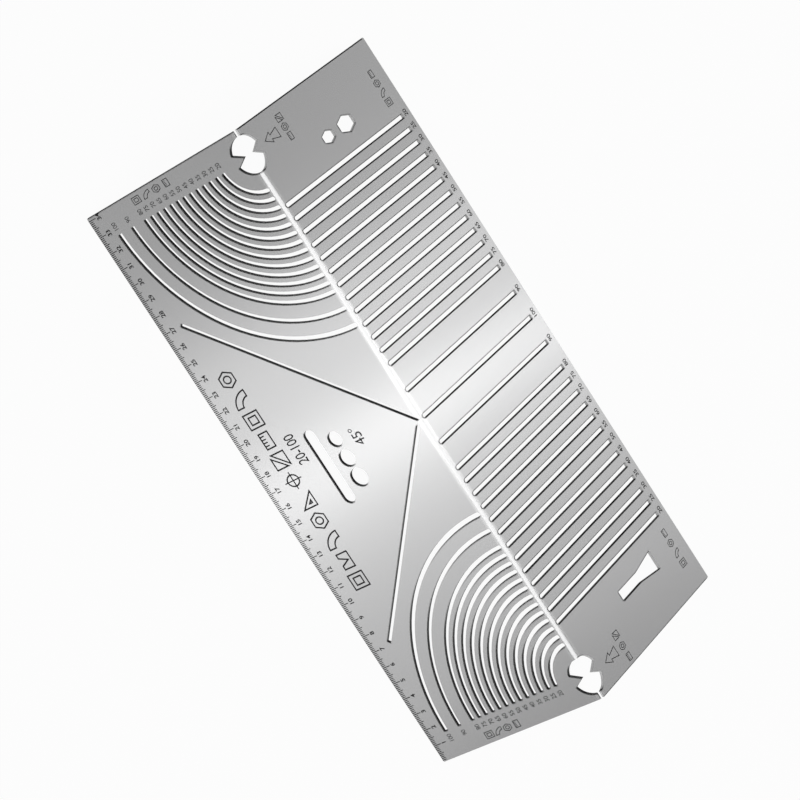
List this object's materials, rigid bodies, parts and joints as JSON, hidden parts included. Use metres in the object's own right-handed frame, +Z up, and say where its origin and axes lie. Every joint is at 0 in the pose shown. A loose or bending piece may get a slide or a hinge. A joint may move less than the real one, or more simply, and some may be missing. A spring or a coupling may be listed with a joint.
{
  "type": "arc marking tool",
  "caption": "Folded steel marking sheet with quarter-arc slots on one flange and straight scribing slots on the other, for laying out folded corners on square tube.",
  "frame": {"origin": "middle of the footprint, on the surface that both free edges stand on", "axes": "+X along the fold, from the end of the ruler with the high numbers to its zero; -Y towards the ruler flange, +Y towards the line flange; +Z up to the fold"},
  "size_m": [0.342, 0.1736, 0.0862],
  "materials": {
    "brushed_sheet": "brushed along the fold, laser-marked scale and numbers"
  },
  "bodies": {
    "root": {"marking_sheet": "brushed_sheet"}
  },
  "joints": []
}
